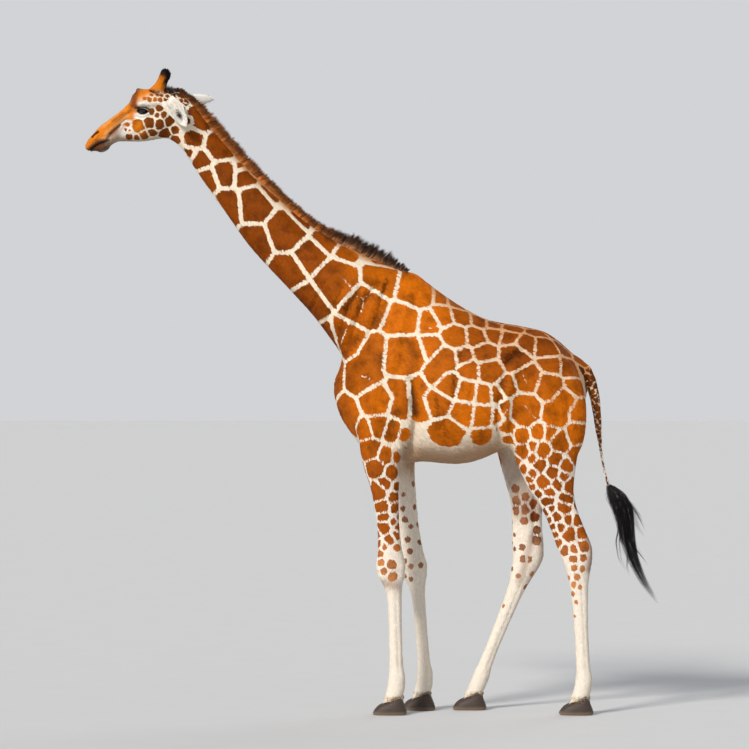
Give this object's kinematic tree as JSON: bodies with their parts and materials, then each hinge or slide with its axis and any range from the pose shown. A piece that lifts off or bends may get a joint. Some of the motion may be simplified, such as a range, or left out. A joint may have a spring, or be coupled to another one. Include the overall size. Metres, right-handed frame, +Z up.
{
  "type": "giraffe",
  "caption": "Life-size still model of a standing adult female reticulated giraffe, its neck stretched forward and its hind legs in mid stride.",
  "frame": {"origin": "on the ground, under the middle of the animal's length and width", "axes": "the animal faces -X, its left side is at -Y and +Z is up"},
  "size_m": [3.5591, 0.6746, 3.9824],
  "materials": {
    "coat_brown": "short flat hair in orange-brown patches parted by cream lines",
    "coat_cream": "short flat cream hair with faint tan spots",
    "ear_hair": "short white hair",
    "ossicone_hair": "short brown hair with a black tuft",
    "mane_hair": "stiff upright red-brown hair with dark tips",
    "tassel_hair": "long coarse black hair",
    "hoof_horn": "worn dark horn",
    "eye": "wet dark brown eye"
  },
  "bodies": {
    "root": {"head": "coat_brown", "neck_upper": "coat_brown", "neck_middle": "coat_brown", "neck_lower": "coat_brown", "chest": "coat_brown", "barrel": "coat_brown", "rump": "coat_brown", "foreleg_left_upper": "coat_brown", "foreleg_left_cannon": "coat_cream", "foreleg_left_pastern": "coat_cream", "foreleg_left_claw_outer": "hoof_horn", "foreleg_left_claw_inner": "hoof_horn", "foreleg_right_upper": "coat_brown", "foreleg_right_cannon": "coat_cream", "foreleg_right_pastern": "coat_cream", "foreleg_right_claw_outer": "hoof_horn", "foreleg_right_claw_inner": "hoof_horn", "hindleg_left_upper": "coat_brown", "hindleg_left_cannon": "coat_cream", "hindleg_left_pastern": "coat_cream", "hindleg_left_claw_outer": "hoof_horn", "hindleg_left_claw_inner": "hoof_horn", "hindleg_right_upper": "coat_brown", "hindleg_right_cannon": "coat_cream", "hindleg_right_pastern": "coat_cream", "hindleg_right_claw_outer": "hoof_horn", "hindleg_right_claw_inner": "hoof_horn", "ear_left": "ear_hair", "ear_right": "ear_hair", "eye_left": "eye", "eye_right": "eye", "ossicone_left": "ossicone_hair", "ossicone_right": "ossicone_hair", "mane_upper": "mane_hair", "mane_lower": "mane_hair", "tail_dock": "coat_brown", "tail_tassel": "tassel_hair"}
  },
  "joints": []
}
